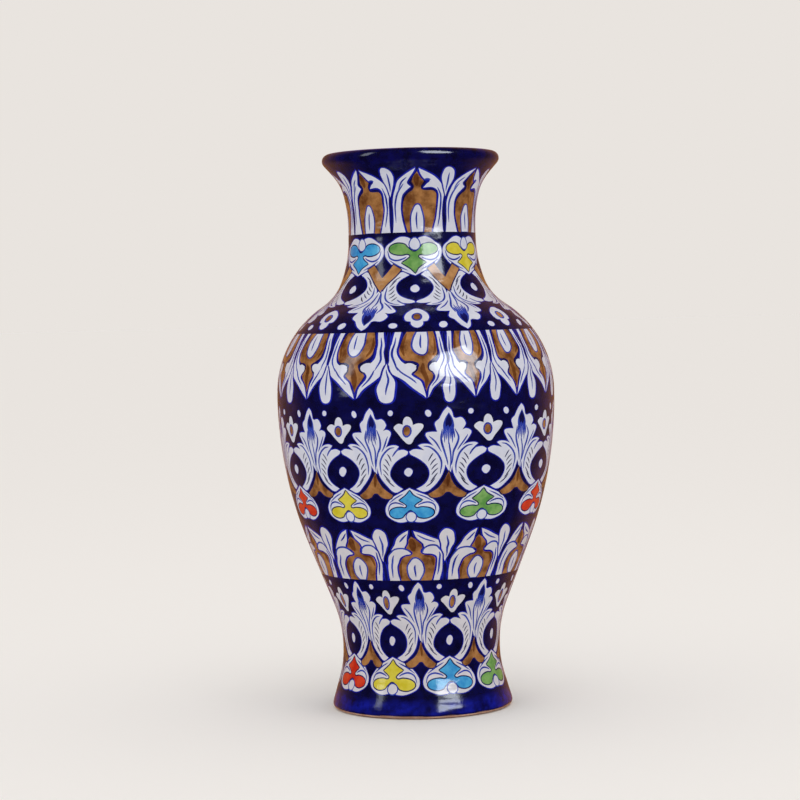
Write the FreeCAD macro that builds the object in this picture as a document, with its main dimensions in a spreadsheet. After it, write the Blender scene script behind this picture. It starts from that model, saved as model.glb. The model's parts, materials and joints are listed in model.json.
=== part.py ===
import FreeCAD, Part
import math
import os
import Sketcher

# A glazed baluster vase, thrown in sections that are luted together with slip: splayed hollow
# foot, bowl-shaped lower body with its floor, shouldered upper body, waisted neck and flared
# mouth. White slip, paint and clear glaze cover the outside and wrap over the lip; a plain
# glaze lines the inside. Every piece is turned about the Z axis. The origin is the centre of
# the circle that the vase stands on. Lengths are in millimetres, angles in degrees.

DIMENSIONS = [
    ("wall", 6.0, "fired clay, all sections"),
    ("glaze", 0.6, "slip and glaze together, each side"),
    ("slip_joint", 1.2, "luting slip between two sections"),
    ("floor_thickness", 8.0, "floor of the lower body"),
    ("edge_centre_r", 46.2, "centre of the rounded standing edge, from the axis"),
    ("edge_radius", 2.6, "rounding of the bare clay standing edge"),
    ("tread_width", 5.0, "flat part of the standing edge"),
    ("glaze_line_lean", -35.0, "where the glaze stops on the rounded standing edge"),
    ("foot_lean", 16.0, "the foot's cone faces this far upwards"),
    ("foot_run", 14.5, "straight part of the foot"),
    ("instep_arc", 54.0, "hollow curve from the foot's cone to the ankle"),
    ("ankle_arc", 66.0, "hollow curve from the ankle to the flank"),
    ("flank_lean", -21.5, "the flank faces this far downwards"),
    ("flank_run", 35.0, "straight part of the flank"),
    ("belly_arc", 222.0, "swelling curve from the flank to the belly"),
    ("shoulder_arc", 57.0, "swelling curve from the belly over the shoulder"),
    ("shoulder_lean", 57.0, "the shoulder's steepest lean, where the hollow curve starts"),
    ("root_arc", 28.0, "tight hollow curve at the root of the neck"),
    ("root_lean", 19.0, "lean of the wall at the top of the root curve"),
    ("neck_arc", 66.0, "hollow curve from the root to the neck's waist"),
    ("neck_run", 5.2, "straight waist of the neck"),
    ("flare_arc", 70.0, "slow curve where the mouth starts to open"),
    ("flare_lean", -14.0, "lean at the end of the slow curve"),
    ("brim_arc", 27.0, "tight curve under the lip"),
    ("brim_lean", -41.0, "lean of the wall under the lip"),
    ("brim_run", 7.3, "straight part under the lip"),
]

# The outside of the vase from the bottom up, as one chain of runs: the ring that each run ends
# at, its kind, its size and the lean of the wall at its end. A lean is the angle at which the
# surface faces, 0 for an upright wall and positive where it faces upwards. A swell bulges
# outwards, a hollow curves inwards, and neighbouring runs are tangent.
EDGE_RADIUS_GLAZED = "(dims.edge_radius + dims.glaze)"
RUNS = [
    ("glaze_line", "swell", EDGE_RADIUS_GLAZED, "dims.glaze_line_lean"),
    ("heel", "swell", EDGE_RADIUS_GLAZED, "dims.foot_lean"),
    ("instep", "straight", "dims.foot_run", "dims.foot_lean"),
    ("ankle", "hollow", "dims.instep_arc", "0"),
    ("body_base", "straight", "dims.slip_joint", "0"),
    ("hip", "hollow", "dims.ankle_arc", "dims.flank_lean"),
    ("flank", "straight", "dims.flank_run", "dims.flank_lean"),
    ("belly", "swell", "dims.belly_arc", "0"),
    ("belly_top", "straight", "dims.slip_joint", "0"),
    ("shoulder", "swell", "dims.shoulder_arc", "dims.shoulder_lean"),
    ("root", "hollow", "dims.root_arc", "dims.root_lean"),
    ("neck_base", "straight", "dims.slip_joint", "dims.root_lean"),
    ("throat", "hollow", "dims.neck_arc", "0"),
    ("neck_top", "straight", "dims.neck_run", "0"),
    ("mouth_base", "straight", "dims.slip_joint", "0"),
    ("flare", "hollow", "dims.flare_arc", "dims.flare_lean"),
    ("brim", "hollow", "dims.brim_arc", "dims.brim_lean"),
    ("lip_start", "straight", "dims.brim_run", "dims.brim_lean"),
]
FIRST_RING = "tread"
FIRST_LEAN = "-90"

# Depths below the outside, measured square to the surface.
SURFACE = "0"
CLAY_OUTSIDE = "dims.glaze"
CLAY_INSIDE = "(dims.glaze + dims.wall)"
LINING_INSIDE = "(2 * dims.glaze + dims.wall)"


def fill_dimension_sheet(doc):
    """The driving dimensions, one to a row, each with its alias."""
    sheet = doc.addObject("Spreadsheet::Sheet", "dims")
    for row, (alias, value, meaning) in enumerate(DIMENSIONS, start=1):
        sheet.set(f"A{row}", alias)
        sheet.set(f"B{row}", str(value))
        sheet.set(f"C{row}", meaning)
        sheet.setAlias(f"B{row}", alias)


def step_of_run(kind, size, lean_before, lean_after):
    """How far a run moves outwards and upwards, as two expressions."""
    if kind == "straight":
        return f"-{size} * sin({lean_after})", f"{size} * cos({lean_after})"
    before, after = (lean_before, lean_after) if kind == "swell" else (lean_after, lean_before)
    outwards = f"{size} * (cos({after}) - cos({before}))"
    upwards = f"{size} * (sin({after}) - sin({before}))"
    return outwards, upwards


def fill_profile_sheet(doc):
    """Radius and height of every ring of the outside, worked out along the chain of runs."""
    sheet = doc.addObject("Spreadsheet::Sheet", "profile")
    radius, height = "dims.edge_centre_r", "-dims.glaze"
    lean = FIRST_LEAN
    rings = [(FIRST_RING, radius, height)]
    for ring, kind, size, lean_after in RUNS:
        before = rings[-1][0]
        outwards, upwards = step_of_run(kind, size, lean, lean_after)
        rings.append((ring, f"{before}_r + {outwards}", f"{before}_z + {upwards}"))
        lean = lean_after
    for row, (ring, radius, height) in enumerate(rings, start=1):
        sheet.set(f"A{row}", ring)
        sheet.set(f"B{row}", f"={radius}")
        sheet.set(f"C{row}", f"={height}")
        sheet.setAlias(f"B{row}", f"{ring}_r")
        sheet.setAlias(f"C{row}", f"{ring}_z")


LEANS = {FIRST_RING: FIRST_LEAN, **{ring: lean for ring, _, _, lean in RUNS}}
ORDER = [FIRST_RING] + [ring for ring, _, _, _ in RUNS]


def ring_point(ring, depth):
    """The point below a ring of the outside at the given depth, as two expressions."""
    radius = f"profile.{ring}_r - {depth} * cos({LEANS[ring]})"
    height = f"profile.{ring}_z - {depth} * sin({LEANS[ring]})"
    return radius, height


def run_curve(ring, depth):
    """How the run that ends at a ring looks at a depth: None for straight, or its radius
    there and +1 where it swells or -1 where it is hollow."""
    _, kind, size, _ = RUNS[ORDER.index(ring) - 1]
    if kind == "straight":
        return None
    if kind == "swell":
        return f"{size} - {depth}", 1
    return f"{size} + {depth}", -1


def path_up(first, last, depth):
    """Corners and curves from one ring up to another. Each entry is the corner's radius and
    height, and the curve that leads to it (None at the first corner)."""
    start, end = ORDER.index(first), ORDER.index(last)
    path = [(*ring_point(first, depth), None)]
    for ring in ORDER[start + 1 : end + 1]:
        path.append((*ring_point(ring, depth), run_curve(ring, depth)))
    return path


def path_down(first, last, depth):
    """The same, from a ring down to a lower one, so that every curve bends the other way."""
    up = path_up(last, first, depth)
    path = [(up[-1][0], up[-1][1], None)]
    for index in range(len(up) - 1, 0, -1):
        curve = up[index][2]
        turned = (curve[0], -curve[1]) if curve else None
        path.append((up[index - 1][0], up[index - 1][1], turned))
    return path


def lip_round(lip_radius, outwards_first=True):
    """The half-round lip in two quarter turns, from the outside over the crest to the inside,
    or back again. Its centre is the middle of the clay wall."""
    middle = "(dims.glaze + dims.wall / 2)"
    centre_r, centre_z = ring_point("lip_start", middle)
    points = []
    for turn in (0, 90, 180):
        angle = f"({LEANS['lip_start']} + {turn})"
        points.append(
            (f"{centre_r} + {lip_radius} * cos{angle}", f"{centre_z} + {lip_radius} * sin{angle}")
        )
    if outwards_first:
        return [(*points[1], (lip_radius, 1)), (*points[2], (lip_radius, 1))]
    return [(*points[1], (lip_radius, -1)), (*points[0], (lip_radius, -1))]


def arc_between(start, end, radius, side):
    """The short arc between two points that bulges to the right of the way from start to end
    where side is +1, and to its left where side is -1. A sketch wants every arc to run
    anticlockwise, so one that bulges to the left is drawn from its end."""
    chord = end - start
    across = FreeCAD.Vector(chord.y, -chord.x, 0) / chord.Length
    sagitta = radius - math.sqrt(radius**2 - (chord.Length / 2) ** 2)
    middle = (start + end) / 2 + across * side * sagitta
    if side == 1:
        return Part.Arc(start, middle, end)
    return Part.Arc(end, middle, start)


START_POINT, END_POINT = 1, 2
LEVEL_AXIS, VERTICAL_AXIS = -1, -2


def bind(sketch, name, expression, constraint):
    """Adds a constraint to the sketch and ties its size to the sheets."""
    sketch.addConstraint(Sketcher.Constraint(*constraint))
    sketch.renameConstraint(sketch.ConstraintCount - 1, name)
    sketch.setExpression(f"Constraints.{name}", expression)


def sketch_outline(body, corners):
    """A closed sketch on the body's XZ plane through the corners, every size bound to the
    sheets. Each corner is (radius, height, curve that leads to it)."""
    plane = [f for f in body.Origin.OriginFeatures if f.Role == "XZ_Plane"][0]
    sketch = body.newObject("Sketcher::SketchObject", f"{body.Name}_section")
    sketch.AttachmentSupport = [(plane, "")]
    sketch.MapMode = "FlatFace"
    places = [
        FreeCAD.Vector(float(body.evalExpression(r)), float(body.evalExpression(z)), 0)
        for r, z, _ in corners
    ]
    tails = []
    for index, (_, _, curve) in enumerate(corners):
        start, end = places[index - 1], places[index]
        if curve is None:
            sketch.addGeometry(Part.LineSegment(start, end))
            tails.append(START_POINT)
            continue
        radius_expression, side = curve
        radius = float(body.evalExpression(radius_expression))
        sketch.addGeometry(arc_between(start, end, radius, side))
        tails.append(START_POINT if side == 1 else END_POINT)
        bind(sketch, f"radius_{index}", radius_expression, ("Radius", index, radius))
    for index, (radius, height, _) in enumerate(corners):
        following = (index + 1) % len(corners)
        head = START_POINT if tails[index] == END_POINT else END_POINT
        sketch.addConstraint(
            Sketcher.Constraint("Coincident", index, head, following, tails[following])
        )
        place = places[index]
        distances = [
            ("DistanceX", radius, place.x, VERTICAL_AXIS),
            ("DistanceY", height, place.y, LEVEL_AXIS),
        ]
        for kind, expression, value, axis in distances:
            if expression == "0":
                sketch.addConstraint(Sketcher.Constraint("PointOnObject", index, head, axis))
            else:
                origin = (LEVEL_AXIS, START_POINT)
                bind(sketch, f"{kind}_{index}", expression, (kind, *origin, index, head, value))
    return sketch


def turned_piece(doc, label, corners):
    """One piece of the vase: its section, turned once about the axis."""
    body = doc.addObject("PartDesign::Body", label)
    body.Label = label
    body.Placement = FreeCAD.Placement()
    sketch = sketch_outline(body, corners)
    turn = body.newObject("PartDesign::Revolution", f"{label}_turn")
    turn.Profile = sketch
    turn.ReferenceAxis = (sketch, ["V_Axis"])
    turn.Angle = 360
    sketch.Visibility = False
    return body


def wall_piece(doc, label, lower, upper, outer_depth, inner_depth):
    """A ring of the vase's wall between two rings and two depths."""
    outside = path_up(lower, upper, outer_depth)
    inside = path_down(upper, lower, inner_depth)
    return turned_piece(doc, label, outside + inside)


def foot(doc):
    """Hollow splayed foot. Its standing edge is bare clay, flat underneath and rounded
    outside, and its inner face runs straight up to the instep."""
    outside = path_up(FIRST_RING, "ankle", CLAY_OUTSIDE)
    inside = path_down("ankle", "instep", CLAY_INSIDE)
    tread_inner_edge = ("dims.edge_centre_r - dims.tread_width", "0", None)
    tread_outer_edge = ("dims.edge_centre_r", "0", None)
    return turned_piece(doc, "foot", [tread_outer_edge] + outside[1:] + inside + [tread_inner_edge])


def floor_corner(depth, height_above_base):
    """Where the hollow ankle curve at a depth meets a level above the body's base."""
    reach = f"sqrt((dims.ankle_arc + {depth})^2 - {height_above_base}^2)"
    radius = f"profile.body_base_r + dims.ankle_arc - {reach}"
    height = f"profile.body_base_z + {height_above_base}"
    return radius, height


def lower_body(doc):
    """Bowl-shaped section with the vase's floor, from the ankle to the belly."""
    outside = path_up("body_base", "belly", CLAY_OUTSIDE)
    inside = path_down("belly", "hip", CLAY_INSIDE)
    floor_edge = floor_corner(CLAY_INSIDE, "dims.floor_thickness")
    ankle_radius, side_going_up = run_curve("hip", CLAY_INSIDE)
    closing = [
        (*floor_edge, (ankle_radius, -side_going_up)),
        ("0", floor_edge[1], None),
        ("0", "profile.body_base_z", None),
    ]
    return turned_piece(doc, "lower_body", outside + inside + closing)


def mouth(doc):
    """Flared mouth that ends in a half-round lip."""
    outside = path_up("mouth_base", "lip_start", CLAY_OUTSIDE)
    inside = path_down("lip_start", "mouth_base", CLAY_INSIDE)
    lip = lip_round("dims.wall / 2")
    return turned_piece(doc, "mouth", outside + lip + inside[1:])


def outer_glaze(doc):
    """Painted slip and glaze, from the bare standing edge up the outside and over the lip."""
    outside = path_up("glaze_line", "lip_start", SURFACE)
    over_the_lip = lip_round("(dims.wall / 2 + dims.glaze)")
    inner_lip_edge = (*ring_point("lip_start", CLAY_INSIDE), None)
    back_over_the_lip = lip_round("dims.wall / 2", outwards_first=False)
    underside = path_down("lip_start", "glaze_line", CLAY_OUTSIDE)
    corners = outside + over_the_lip + [inner_lip_edge] + back_over_the_lip + underside[1:]
    return turned_piece(doc, "outer_glaze", corners)


def body_lining(doc):
    """Plain glaze over the floor and the inside of the body, up to the root of the neck."""
    outside = path_up("hip", "neck_base", CLAY_INSIDE)
    outside[0] = (*ring_point("hip", CLAY_INSIDE), run_curve("hip", CLAY_INSIDE))
    inside = path_down("neck_base", "hip", LINING_INSIDE)
    ankle_radius, side_going_up = run_curve("hip", LINING_INSIDE)
    glaze_edge = floor_corner(LINING_INSIDE, "(dims.floor_thickness + dims.glaze)")
    floor_edge = floor_corner(CLAY_INSIDE, "dims.floor_thickness")
    closing = [
        (*glaze_edge, (ankle_radius, -side_going_up)),
        ("0", glaze_edge[1], None),
        ("0", floor_edge[1], None),
        (*floor_edge, None),
    ]
    return turned_piece(doc, "body_lining", outside + inside + closing)


def slip_ring(doc, label, lower, upper):
    """Luting slip that fills the joint between two sections."""
    return wall_piece(doc, label, lower, upper, CLAY_OUTSIDE, CLAY_INSIDE)


def build(doc):
    """Every piece of the vase, from the foot up, then its coats."""
    return [
        foot(doc),
        slip_ring(doc, "ankle_slip", "ankle", "body_base"),
        lower_body(doc),
        slip_ring(doc, "belly_slip", "belly", "belly_top"),
        wall_piece(doc, "upper_body", "belly_top", "root", CLAY_OUTSIDE, CLAY_INSIDE),
        slip_ring(doc, "neck_slip", "root", "neck_base"),
        wall_piece(doc, "neck", "neck_base", "neck_top", CLAY_OUTSIDE, CLAY_INSIDE),
        slip_ring(doc, "mouth_slip", "neck_top", "mouth_base"),
        mouth(doc),
        outer_glaze(doc),
        body_lining(doc),
        wall_piece(doc, "neck_lining", "neck_base", "lip_start", CLAY_INSIDE, LINING_INSIDE),
    ]


def check(doc, pieces):
    """Stops if any object failed, or if a piece is missing, broken or more than one solid."""
    failed = [o.Name for o in doc.Objects if "Invalid" in o.State or "Error" in o.State]
    if failed:
        raise RuntimeError(f"objects failed to build: {failed}")
    for piece in pieces:
        shape = piece.Shape
        if shape.isNull() or not shape.isValid() or len(shape.Solids) != 1:
            raise RuntimeError(f"{piece.Label} is not one valid solid")


doc = FreeCAD.newDocument("vase")
fill_dimension_sheet(doc)
fill_profile_sheet(doc)
doc.recompute()
pieces = build(doc)
doc.recompute()
check(doc, pieces)

os.makedirs("parts", exist_ok=True)
for piece in pieces:
    piece.Shape.exportStep(os.path.join("parts", f"{piece.Label}.step"))
    box = piece.Shape.optimalBoundingBox()
    print(
        f"{piece.Label}: {piece.Shape.Volume / 1000:.1f} cm3,"
        f" z {box.ZMin:.1f} to {box.ZMax:.1f}, width {box.XLength:.1f}"
    )
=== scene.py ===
import json
import math

import bmesh
import bpy
import numpy as np
from mathutils import Matrix
from mathutils import Vector
from mathutils import geometry
from mathutils import noise

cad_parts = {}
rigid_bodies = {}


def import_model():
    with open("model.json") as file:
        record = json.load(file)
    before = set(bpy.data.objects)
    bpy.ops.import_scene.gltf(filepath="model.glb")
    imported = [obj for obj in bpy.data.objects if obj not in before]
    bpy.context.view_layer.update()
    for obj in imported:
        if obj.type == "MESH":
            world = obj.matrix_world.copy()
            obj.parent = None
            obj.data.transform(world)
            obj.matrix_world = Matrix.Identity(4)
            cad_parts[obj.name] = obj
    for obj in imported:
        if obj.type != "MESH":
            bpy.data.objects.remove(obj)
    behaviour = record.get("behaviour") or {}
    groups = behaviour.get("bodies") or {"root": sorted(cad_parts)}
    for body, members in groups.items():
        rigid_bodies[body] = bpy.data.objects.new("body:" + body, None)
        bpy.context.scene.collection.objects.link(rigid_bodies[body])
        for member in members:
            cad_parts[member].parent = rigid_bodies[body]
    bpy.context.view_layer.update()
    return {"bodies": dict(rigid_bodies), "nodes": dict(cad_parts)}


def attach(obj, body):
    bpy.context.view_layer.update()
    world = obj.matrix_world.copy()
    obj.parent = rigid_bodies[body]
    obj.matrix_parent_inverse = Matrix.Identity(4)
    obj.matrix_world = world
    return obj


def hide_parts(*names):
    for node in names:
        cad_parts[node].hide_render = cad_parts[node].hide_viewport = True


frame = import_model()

# --- Clay sections ----------------------------------------
# Foot, bowl, shoulder, neck and mouth are thrown in a pale pinkish earthenware and fired once.
# Only the standing edge and the hollow under the foot stay bare.


def srgb(red, green, blue):
    """A paint chip's 0-255 colour as the linear colour that a shader takes."""
    chips = [channel / 255 for channel in (red, green, blue)]
    linear = [c / 12.92 if c <= 0.04045 else ((c + 0.055) / 1.055) ** 2.4 for c in chips]
    return (*linear, 1.0)


def new_group(name, inputs, outputs):
    """An empty shader node group with named sockets, given as (name, kind, value)."""
    group = bpy.data.node_groups.new(name, "ShaderNodeTree")
    for label, kind, value in inputs:
        socket = group.interface.new_socket(label, in_out="INPUT", socket_type="NodeSocket" + kind)
        socket.default_value = value
    for label, kind in outputs:
        group.interface.new_socket(label, in_out="OUTPUT", socket_type="NodeSocket" + kind)
    entry = group.nodes.new("NodeGroupInput")
    leave = group.nodes.new("NodeGroupOutput")
    return group, entry, leave


def dial(node, settings):
    """Sets a node's own sockets by name."""
    for label, value in settings.items():
        node.inputs[label].default_value = value


def maths(group, operation):
    """A maths node set to one operation."""
    node = group.nodes.new("ShaderNodeMath")
    node.operation = operation
    return node


def make_hand_wash():
    """Two colours worked into each other in cloudy patches, as a loaded brush leaves them."""
    group, entry, leave = new_group(
        "hand_wash",
        [("Thick", "Color", (0, 0, 0, 1)), ("Thin", "Color", (1, 1, 1, 1)),
         ("Patch", "Float", 120.0), ("Share", "Float", 0.5), ("Soft", "Float", 0.2)],
        [("Color", "Color")])
    place = group.nodes.new("ShaderNodeTexCoord")
    clouds = group.nodes.new("ShaderNodeTexNoise")
    dial(clouds, {"Detail": 5, "Roughness": 0.62})
    low = maths(group, "SUBTRACT")
    high = maths(group, "ADD")
    edge = group.nodes.new("ShaderNodeMapRange")
    edge.interpolation_type = "SMOOTHSTEP"
    mix = group.nodes.new("ShaderNodeMix")
    mix.data_type = "RGBA"
    link = group.links.new
    link(place.outputs["Object"], clouds.inputs["Vector"])
    link(entry.outputs["Patch"], clouds.inputs["Scale"])
    link(entry.outputs["Share"], low.inputs[0])
    link(entry.outputs["Soft"], low.inputs[1])
    link(entry.outputs["Share"], high.inputs[0])
    link(entry.outputs["Soft"], high.inputs[1])
    link(clouds.outputs["Fac"], edge.inputs["Value"])
    link(low.outputs[0], edge.inputs["From Min"])
    link(high.outputs[0], edge.inputs["From Max"])
    link(edge.outputs["Result"], mix.inputs["Factor"])
    link(entry.outputs["Thick"], mix.inputs["A"])
    link(entry.outputs["Thin"], mix.inputs["B"])
    link(mix.outputs["Result"], leave.inputs["Color"])
    return group


def make_thrown_wall():
    """Height of the low rings and dimples that fingers leave on a turning pot."""
    group, entry, leave = new_group(
        "thrown_wall", [("Rings", "Float", 1.0), ("Grain", "Float", 0.3)], [("Height", "Float")])
    place = group.nodes.new("ShaderNodeTexCoord")
    squeeze = group.nodes.new("ShaderNodeMapping")
    dial(squeeze, {"Scale": (34, 34, 110)})
    rings = group.nodes.new("ShaderNodeTexNoise")
    dial(rings, {"Scale": 1.0, "Detail": 1.5})
    grain = group.nodes.new("ShaderNodeTexNoise")
    dial(grain, {"Scale": 620, "Detail": 3})
    weigh_rings = maths(group, "MULTIPLY")
    weigh_grain = maths(group, "MULTIPLY")
    total = maths(group, "ADD")
    link = group.links.new
    link(place.outputs["Object"], squeeze.inputs["Vector"])
    link(squeeze.outputs["Vector"], rings.inputs["Vector"])
    link(place.outputs["Object"], grain.inputs["Vector"])
    link(rings.outputs["Fac"], weigh_rings.inputs[0])
    link(entry.outputs["Rings"], weigh_rings.inputs[1])
    link(grain.outputs["Fac"], weigh_grain.inputs[0])
    link(entry.outputs["Grain"], weigh_grain.inputs[1])
    link(weigh_rings.outputs[0], total.inputs[0])
    link(weigh_grain.outputs[0], total.inputs[1])
    link(total.outputs[0], leave.inputs["Height"])
    return group


hand_wash = make_hand_wash()
thrown_wall = make_thrown_wall()


def add_wall_bump(material, shader, rings, grain, depth):
    """Feeds the thrown wall's height through a bump node into the shader's normal."""
    nodes = material.node_tree.nodes
    wall = nodes.new("ShaderNodeGroup")
    wall.node_tree = thrown_wall
    dial(wall, {"Rings": rings, "Grain": grain})
    bump = nodes.new("ShaderNodeBump")
    dial(bump, {"Strength": 1.0, "Distance": depth})
    material.node_tree.links.new(wall.outputs["Height"], bump.inputs["Height"])
    material.node_tree.links.new(bump.outputs["Normal"], shader.inputs["Normal"])


def new_surface(name):
    """A plain material and its shader."""
    material = bpy.data.materials.new(name)
    material.use_nodes = True
    return material, material.node_tree.nodes["Principled BSDF"]


def two_tone(name, thick, thin, patch, share, soft, roughness, rings, grain, depth):
    """A ceramic surface of two blended colours on a thrown wall; depth is in metres."""
    material, shader = new_surface(name)
    dial(shader, {"Roughness": roughness})
    wash = material.node_tree.nodes.new("ShaderNodeGroup")
    wash.node_tree = hand_wash
    dial(wash, {"Thick": thick, "Thin": thin, "Patch": patch, "Share": share, "Soft": soft})
    material.node_tree.links.new(wash.outputs["Color"], shader.inputs["Base Color"])
    add_wall_bump(material, shader, rings, grain, depth)
    return material


def finish_nodes(names, material):
    """Gives the CAD pieces their surface."""
    for name in names:
        frame["nodes"][name].material_slots[0].material = material


bare_clay = two_tone("bare_clay", srgb(196, 156, 132), srgb(222, 190, 170), patch=70, share=0.5,
                     soft=0.25, roughness=0.82, rings=1.0, grain=0.8, depth=0.0005)
finish_nodes(["foot", "lower_body", "upper_body", "neck", "mouth"], bare_clay)

# --- Luting slip ------------------------------------------
# Liquid clay a little paler than the wall, brushed on each joint before the sections are
# pressed together. It is hidden once the pot is glazed.

slip = two_tone("luting_slip_clay", srgb(214, 186, 168), srgb(230, 208, 192), patch=200, share=0.5,
                soft=0.2, roughness=0.88, rings=0.4, grain=1.0, depth=0.0004)
finish_nodes(["ankle_slip", "belly_slip", "neck_slip", "mouth_slip"], slip)

# --- Inner linings ----------------------------------------
# A plain white glaze poured in and swilled round, from the floor to the root of the neck and
# up the neck to the lip. It is a touch bluer where it lies thick.

lining = two_tone("lining_glaze", srgb(206, 208, 218), srgb(226, 224, 226), patch=45, share=0.5,
                  soft=0.3, roughness=0.16, rings=1.0, grain=0.05, depth=0.0006)
dial(lining.node_tree.nodes["Principled BSDF"], {"IOR": 1.52})
finish_nodes(["body_lining", "neck_lining"], lining)

# --- Painted coat: the wall that carries it ---------------
# White slip, painted pigments and clear glaze, 0.6 mm thick in all, over the whole outside.
# It is worked in bands between turned lines, so each band is a closed shell of its own.

MM = 0.001
COAT = 0.6 * MM
TOUCHING = 1e-6  # m, between points that are one and the same
CORNER_TURN = math.radians(60)  # the coat's section turns this sharply only where it ends


def read_wall(node):
    """The coat's half section: radius, height and running length, foot to inner lip, in m."""
    shell = bmesh.new()
    shell.from_mesh(frame["nodes"][node].data)
    bmesh.ops.remove_doubles(shell, verts=shell.verts, dist=TOUCHING)
    seam = {v for v in shell.verts if abs(v.co.y) < TOUCHING and v.co.x > 0}
    steps = {v: [] for v in seam}
    for edge in shell.edges:
        first, second = edge.verts
        if first in seam and second in seam:
            steps[first].append(second)
            steps[second].append(first)
    corners = []
    for v in seam:
        before, after = steps[v]
        if (v.co - before.co).angle(after.co - v.co) > CORNER_TURN:
            corners.append(v)
    near_floor = 10 * MM
    start = max((v for v in corners if v.co.z < near_floor), key=lambda v: v.co.x)
    came_from = min(steps[start], key=lambda v: v.co.x)
    here, line = start, [start.co.copy()]
    while True:
        onward = next(v for v in steps[here] if v is not came_from)
        came_from, here = here, onward
        line.append(here.co.copy())
        if here in corners:
            break
    shell.free()
    points = np.array([(p.x, p.z) for p in line])
    length = np.concatenate([[0], np.cumsum(np.hypot(*np.diff(points, axis=0).T))])
    return points, length


wall_points, wall_length = read_wall("outer_glaze")
wall_slope = np.gradient(wall_points, wall_length, axis=0)
wall_slope /= np.hypot(*wall_slope.T)[:, None]


def on_wall(run):
    """Radius, height and outward normal of the wall at running lengths along it."""
    place = np.clip(np.searchsorted(wall_length, run, side="right") - 1, 0, len(wall_length) - 2)
    step = (wall_length[place + 1] - wall_length[place])[:, None]
    share = (run - wall_length[place])[:, None] / step
    p0, p1 = wall_points[place], wall_points[place + 1]
    m0, m1 = wall_slope[place] * step, wall_slope[place + 1] * step
    point = ((2 * share**3 - 3 * share**2 + 1) * p0 + (share**3 - 2 * share**2 + share) * m0
             + (3 * share**2 - 2 * share**3) * p1 + (share**3 - share**2) * m1)
    slope = wall_slope[place] * (1 - share) + wall_slope[place + 1] * share
    slope /= np.hypot(*slope.T)[:, None]
    return point[:, 0], point[:, 1], slope[:, 1], -slope[:, 0]


def run_at(height):
    """Running length at a height in mm, measured on the way up the outside."""
    top = int(np.argmax(wall_points[:, 1]))
    return float(np.interp(height * MM, wall_points[:top + 1, 1], wall_length[:top + 1]))


# --- Painted coat: the pigments ---------------------------
# Cobalt laid thick goes near-black and bleeds ultramarine at its edges; umber breaks up into
# ochre; turquoise, green, yellow and red fill the hearts. Each has a thick and a thin colour.

PIGMENTS = {
    "ground": (srgb(4, 5, 44), srgb(8, 11, 78)),
    "fringe": (srgb(12, 16, 136), srgb(28, 40, 182)),
    "white": (srgb(210, 216, 236), srgb(222, 226, 240)),
    # white slip darkened and warmed by a painted warm bounce of light from the floor, for the foot
    # and flank bands
    "white_with_painted_floor_bounce": (srgb(208, 209, 220), srgb(221, 219, 227)),
    "umber": (srgb(84, 44, 20), srgb(128, 78, 38)),
    "ochre": (srgb(100, 56, 26), srgb(182, 130, 78)),
    "sand": (srgb(140, 92, 48), srgb(196, 148, 96)),
    "line": (srgb(24, 38, 148), srgb(56, 80, 190)),
    "outline": (srgb(10, 11, 60), srgb(20, 24, 108)),
    "red": (srgb(196, 36, 18), srgb(222, 72, 42)),
    "yellow": (srgb(206, 192, 40), srgb(226, 216, 86)),
    "blue": (srgb(28, 130, 208), srgb(84, 180, 230)),
    "green": (srgb(82, 144, 70), srgb(142, 188, 112)),
    "rim": (srgb(4, 4, 36), srgb(8, 9, 84)),
    "foot_blue": (srgb(4, 6, 70), srgb(14, 26, 156)),
    "bare_edge": (srgb(176, 132, 112), srgb(206, 170, 150)),
}
HEART_COLOURS = ("red", "yellow", "blue", "green")

painted, painted_shader = new_surface("painted_under_glaze")
dial(painted_shader, {"Roughness": 0.13, "IOR": 1.46, "Coat Weight": 0.2, "Coat Roughness": 0.05})
painted_wash = painted.node_tree.nodes.new("ShaderNodeGroup")
painted_wash.node_tree = hand_wash
dial(painted_wash, {"Patch": 150, "Share": 0.5, "Soft": 0.22})
for layer in ("Thick", "Thin"):
    pigment = painted.node_tree.nodes.new("ShaderNodeAttribute")
    pigment.attribute_name = layer.lower()
    painted.node_tree.links.new(pigment.outputs["Color"], painted_wash.inputs[layer])
painted.node_tree.links.new(painted_wash.outputs["Color"], painted_shader.inputs["Base Color"])
add_wall_bump(painted, painted_shader, rings=1.0, grain=0.03, depth=0.0014)

# --- Painted coat: brush marks ----------------------------
# A mark is a filled outline or a tapering stroke, in millimetres on the flat of one repeat.
# Marks are laid in order, and what is on top is the colour that shows.


def brushed(points, steps=4):
    """A closed outline drawn smoothly through the points; a third value keeps a corner."""
    corner = [len(p) > 2 for p in points]
    spots = [Vector(p[:2]) for p in points]
    count = len(spots)
    outline = []
    for i in range(count):
        before, here = spots[i - 1], spots[i]
        there, after = spots[(i + 1) % count], spots[(i + 2) % count]
        reach = (there - here).length
        leave = (there - here) if corner[i] else (there - before).normalized() * reach
        sharp_end = corner[(i + 1) % count]
        arrive = (there - here) if sharp_end else (after - here).normalized() * reach
        outline += [hermite(here, leave, there, arrive, j / steps) for j in range(steps)]
    return outline


def hermite(here, leave, there, arrive, share):
    """A spot part of the way along a curve that leaves and arrives in the given directions."""
    square, cube = share**2, share**3
    return (here * (2 * cube - 3 * square + 1) + leave * (cube - 2 * square + share)
            + there * (3 * square - 2 * cube) + arrive * (cube - square))


LIFTED_SHARE = 0.22  # of its full width, where the brush touches down and lifts off


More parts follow.
